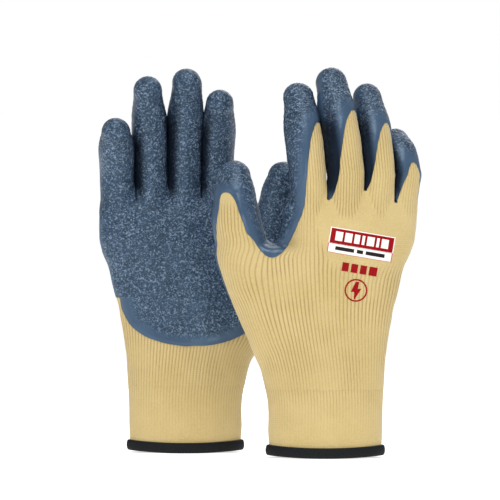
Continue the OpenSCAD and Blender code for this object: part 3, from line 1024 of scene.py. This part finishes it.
def bars(u, v, top, bottom, widths, gap):
    """Where a row of upright bars lies: plain blocks in place of lettering."""
    inside = np.zeros(u.shape, bool)
    left = -(sum(widths) + gap * (len(widths) - 1)) / 2
    for width in widths:
        inside |= (u > left) & (u < left + width)
        left += width + gap
    return inside & (v > bottom) & (v < top)


def build_print(hand):
    """A red and a white panel with plain bars, a row of red bars, and a bolt in a ring."""
    red_points = hand.node_points("print_red_panel")
    white_points = hand.node_points("print_white_panel")
    both = np.vstack([red_points, white_points])
    left = both[both[:, 0] < both[:, 0].min() + 3.5]
    right = both[both[:, 0] > both[:, 0].max() - 3.5]
    tilt = math.atan2(right[:, 2].mean() - left[:, 2].mean(), right[:, 0].mean() - left[:, 0].mean())
    along = np.array([math.cos(tilt), math.sin(tilt)])
    up = np.array([-along[1], along[0]])
    step = 0.3
    for name, points in (("red", red_points), ("white", white_points)):
        flat = points[:, [0, 2]]
        u, v = flat @ along, flat @ up
        width, height = u.max() - u.min(), v.max() - v.min()
        centre = along * (u.max() + u.min()) / 2 + up * (v.max() + v.min()) / 2 + [0, PRINT_LIFT]
        us, vs, quads, cu, cv = sheet(width, height, step)
        x, z = (centre[k] + us * along[k] + vs * up[k] for k in (0, 1))
        if name == "red":
            frame_line = (np.abs(cu) > width / 2 - 0.6) | (cv > height / 2 - 0.6)
            blocks = bars(cu, cv, 3.0, -3.0, NAME_BARS, 1.5)
            choice = np.where(frame_line | blocks, 1, 0)
            materials = [PRINT_RED, PRINT_WHITE]
        else:
            frame_line = (np.abs(cu) > width / 2 - 0.45) | (cv < 0.45 - height / 2)
            blocks = bars(cu, cv, 1.3, -1.0, PHRASE_BARS, 1.8)
            choice = np.where(blocks, 1, np.where(frame_line, 2, 0))
            materials = [PRINT_WHITE, PRINT_DARK, PRINT_PINK]
        film(hand, f"print_{name}_film", f"print_{name}_panel", x, z, quads, materials, choice)
    build_symbol(hand, along, up)


def build_symbol(hand, along, up):
    """A bolt in a ring, under a row of plain blocks that follows the tilt of the panels."""
    points = hand.node_points("print_symbol")
    low, high = points.min(0), points.max(0)
    centre = np.array([(low[0] + high[0]) / 2, (low[2] + high[2]) / 2])
    radius = (high[0] - low[0]) / 2 + 0.5
    step = 0.22
    width = 2 * (radius + 12)
    us, vs, quads, cu, cv = sheet(width, width, step)
    distance = np.hypot(cu, cv)
    ring = (distance < radius) & (distance > radius - RING_WIDTH)
    slant = cu - 0.35 * cv
    upper = (cv > -0.9) & (cv < 5.6) & (np.abs(slant + 0.9) < 2.0 - 0.15 * cv)
    lower = (cv <= 0.9) & (cv > -BOLT_REACH) & (np.abs(slant - 0.9) < 0.3 + 0.3 * (cv + BOLT_REACH))
    row_u, row_v = cu * along[0] + cv * along[1], cu * up[0] + cv * up[1]
    foot = radius + RATING_GAP
    rating = bars(row_u, row_v, foot + RATING_HEIGHT, foot, RATING_BARS, 1.6)
    kept, x, z = compact(quads[ring | upper | lower | rating], us.ravel(), vs.ravel())
    film(hand, "print_symbol_film", "print_symbol", centre[0] + x, centre[1] + z, kept,
         [PRINT_RED], np.zeros(len(kept)))


def srgb(red, green, blue):
    """A colour given as it looks on a screen, in the linear light that shaders use."""
    parts = [part / 255 for part in (red, green, blue)]
    return [((part + 0.055) / 1.055) ** 2.4 if part > 0.04 else part / 12.92 for part in parts] + [1]


class Shader:
    """A small helper that adds and joins the nodes of one material."""

    def __init__(self, name):
        self.material = bpy.data.materials.new(name)
        self.material.use_nodes = True
        self.tree = self.material.node_tree
        self.surface = self.tree.nodes["Principled BSDF"]
        self.coordinates = self.tree.nodes.new("ShaderNodeTexCoord").outputs["Object"]

    def connect(self, value, socket):
        """Links another node's output, or sets a plain value."""
        if hasattr(value, "is_output"):
            self.tree.links.new(value, socket)
        else:
            socket.default_value = value

    def node(self, kind, inputs, output=0, **settings):
        """Adds a node, fills its inputs with links or values, and gives one of its outputs."""
        node = self.tree.nodes.new(f"ShaderNode{kind}")
        for key, value in settings.items():
            setattr(node, key, value)
        for key, value in inputs.items():
            self.connect(value, node.inputs[key])
        return node.outputs[output]

    def attribute(self, name):
        return self.node("Attribute", {}, "Fac", attribute_name=name)

    def noise(self, scale, detail=3.0, stretch=(1, 1, 1)):
        place = self.node("Mapping", {"Vector": self.coordinates, "Scale": stretch})
        return self.node("TexNoise", {"Vector": place, "Scale": scale, "Detail": detail}, "Fac")

    def math(self, operation, a, b=0.0):
        return self.node("Math", {0: a, 1: b}, operation=operation)

    def weigh(self, a, a_share, b, b_share):
        """The sum of two values, each times its share."""
        return self.math("ADD", self.math("MULTIPLY", a, a_share), self.math("MULTIPLY", b, b_share))

    def scale(self, value, low, high, to_low, to_high):
        """Maps low..high to to_low..to_high, without going past them."""
        return self.node("MapRange", dict(enumerate((value, low, high, to_low, to_high))))

    def mix(self, share, a, b):
        return self.node("Mix", {0: share, 6: a, 7: b}, 2, data_type="RGBA")

    def bump(self, height, distance):
        return self.node("Bump", {"Height": height, "Distance": distance * MM}, "Normal")

    def finish(self, color, roughness, normal, **others):
        self.connect(color, self.surface.inputs["Base Color"])
        self.connect(roughness, self.surface.inputs["Roughness"])
        self.connect(normal, self.surface.inputs["Normal"])
        for key, value in others.items():
            self.connect(value, self.surface.inputs[key.replace("_", " ")])
        return self.material

    def courses(self, pitch):
        """Rows of stitches across the knit, as waves of height."""
        height = self.node("SeparateXYZ", {0: self.coordinates}, 2)
        turns = self.math("MULTIPLY", height, 2 * math.pi / (pitch * MM))
        return self.scale(self.math("SINE", turns), -1, 1, 0, 1)


def knit_material():
    """Pale yellow knit: painted shade in the grooves, rows of stitches, and loose fibres with a painted
    highlight.
    """
    shader = Shader("knit")
    rib = shader.attribute("rib")
    patches = shader.scale(shader.noise(38, 4), 0.35, 0.65, 0, 1)
    fibres = shader.noise(1900, 2, (1, 1, 0.45))
    stitches = shader.courses(COURSE_PITCH)
    light = shader.mix(patches, srgb(199, 176, 119), srgb(190, 166, 106))
    # Painted highlight: loose fibres lightened towards a paler yellow
    light = shader.mix(shader.scale(fibres, 0.35, 0.7, 0, 0.5), light, srgb(212, 192, 142))
    # Painted shade: the grooves between the ribs darkened towards brown
    groove = shader.scale(rib, 0.0, 0.75, 0.7, 0.0)
    color = shader.mix(groove, light, srgb(132, 102, 50))
    height = shader.weigh(stitches, 0.35, fibres, 0.65)
    return shader.finish(color, 0.82, shader.bump(height, 0.14), Sheen_Weight=0.25, Sheen_Roughness=0.5)


def latex_material():
    """Blue latex, smooth at its edge, wrinkled with painted shade in pits and clefts and painted highlights
    on tops.
    """
    shader = Shader("latex")
    crinkle, rough = shader.attribute("crinkle"), shader.attribute("rough")
    patches = shader.scale(shader.noise(55, 4), 0.35, 0.65, 0, 1)
    painted_shade = shader.attribute("painted_shade")
    fine = shader.noise(1450, 3)
    grain = shader.weigh(crinkle, 0.4, fine, 0.6)
    body = shader.mix(patches, srgb(56, 76, 99), srgb(64, 85, 109))
    # Painted shade: the pits of the wrinkles darkened
    depth = shader.math("MULTIPLY", rough, shader.scale(grain, 0.4, 0.6, 1, 0))
    color = shader.mix(shader.math("MULTIPLY", depth, 0.88), body, srgb(11, 17, 28))
    # Painted highlight: the tops of the wrinkles lightened towards a pale blue
    tops = shader.math("MULTIPLY", rough, shader.scale(grain, 0.57, 0.7, 0, 0.6))
    color = shader.mix(tops, color, srgb(150, 167, 188))
    # Painted shade: the clefts between the fingers turn near-black, and their specular is lowered
    color = shader.mix(shader.math("MULTIPLY", painted_shade, 0.93), color, srgb(8, 13, 24))
    roughness = shader.scale(rough, 0, 1, 0.3, 0.42)
    relief = shader.math("MULTIPLY", fine, rough)
    return shader.finish(color, roughness, shader.bump(relief, 0.25),
                         Specular_IOR_Level=shader.scale(painted_shade, 0, 1, 0.5, 0.1),
                         Specular_Tint=(0.62, 0.82, 1.0, 1.0))


def yarn_material(name, light, dark, roughness):
    """Twisted yarn, with painted shade between its strands."""
    shader = Shader(name)
    stitch = shader.attribute("stitch")
    fibres = shader.noise(2600, 2)
    # Painted shade: darker between the strands, where the stitches or twists dip
    share = shader.math("MULTIPLY", stitch, shader.scale(fibres, 0.3, 0.7, 0.5, 1))
    return shader.finish(shader.mix(share, dark, light), roughness, shader.bump(fibres, 0.2),
                         Specular_IOR_Level=0.2)


def print_material(name, color, worn):
    """Ink on knit, worn in speckles and over the grooves."""
    shader = Shader(name)
    rib = shader.attribute("rib")
    speckle = shader.noise(900, 3)
    in_grooves = shader.scale(rib, 0, 0.5, 0.45, 0.05)
    wear = shader.math("MULTIPLY", in_grooves, shader.scale(speckle, 0.45, 0.6, 0.3, 1))
    return shader.finish(shader.mix(wear, color, worn), 0.5, shader.bump(speckle, 0.06),
                         Specular_IOR_Level=0.1)


KNIT = knit_material()
LATEX_MATERIAL = latex_material()
HEM = yarn_material("hem_yarn", srgb(22, 27, 31), srgb(8, 10, 12), 0.6)
ELASTIC = yarn_material("elastic_yarn", srgb(238, 228, 204), srgb(190, 176, 140), 0.7)
PRINT_RED = print_material("print_red", srgb(146, 3, 17), srgb(150, 50, 40))
PRINT_PINK = print_material("print_outline", srgb(196, 90, 96), srgb(190, 150, 110))
PRINT_WHITE = print_material("print_white", srgb(245, 242, 236), srgb(214, 200, 160))
PRINT_DARK = print_material("print_dark", srgb(34, 30, 34), srgb(90, 80, 60))


def build_glove(glove):
    hand = Hand(glove)
    build_form(hand)
    build_cuff(hand)
    build_hem(hand)
    build_elastic(hand)
    build_print(hand)


def area_light(name, location, target, size, power):
    light = bpy.data.lights.new(name, "AREA")
    light.size = size
    light.energy = power
    lamp = bpy.data.objects.new(name, light)
    lamp.location = location
    lamp.rotation_euler = (Vector(target) - Vector(location)).to_track_quat("-Z", "Y").to_euler()
    bpy.context.scene.collection.objects.link(lamp)


def build_studio():
    """A pale floor, a pale sky and soft lights around the object."""
    low, high = cad_box
    middle = (Vector(low) + Vector(high)) / 2
    world = bpy.data.worlds.new("studio")
    world.use_nodes = True
    tree = world.node_tree
    background = tree.nodes["Background"]
    background.inputs["Color"].default_value = (1, 1, 1, 1)
    seen = tree.nodes.new("ShaderNodeLightPath").outputs["Is Camera Ray"]
    strength = tree.nodes.new("ShaderNodeMapRange")
    strength.inputs["To Min"].default_value = SKY
    tree.links.new(seen, strength.inputs["Value"])
    tree.links.new(strength.outputs["Result"], background.inputs["Strength"])
    bpy.context.scene.world = world
    bpy.context.scene.view_settings.view_transform = "Standard"
    bpy.ops.mesh.primitive_plane_add(size=FLOOR_WIDTH, location=(middle.x, middle.y, low[2]))
    floor = bpy.context.object
    floor.name = "studio_floor"
    shader = Shader("floor")
    pale = shader.mix(shader.noise(0.6), srgb(252, 252, 252), srgb(249, 249, 249))
    floor.data.materials.append(
        shader.finish(pale, 0.9, shader.bump(0.5, 0.0), Emission_Color=pale,
                      Emission_Strength=FLOOR_GLOW))
    for name, (location, size, power) in LIGHTS.items():
        area_light(name, location, middle, size, power)


def build_camera():
    """A long lens at the height of the hands, a little above level."""
    low, high = cad_box
    elevation = math.radians(CAMERA_ELEVATION)
    target = Vector((CAMERA_TARGET[0], (low[1] + high[1]) / 2, CAMERA_TARGET[1]))
    back = Vector((0, -math.cos(elevation), math.sin(elevation)))
    camera = bpy.data.objects.new("camera", bpy.data.cameras.new("camera"))
    camera.location = target + back * CAMERA_DISTANCE
    camera.rotation_euler = (-back).to_track_quat("-Z", "Y").to_euler()
    camera.data.lens = camera.data.sensor_width * CAMERA_DISTANCE / FIELD_WIDTH
    camera.data.clip_end = FLOOR_WIDTH
    bpy.context.scene.collection.objects.link(camera)
    bpy.context.scene.camera = camera


for one_glove in ("front", "rear"):
    build_glove(one_glove)
build_studio()
build_camera()
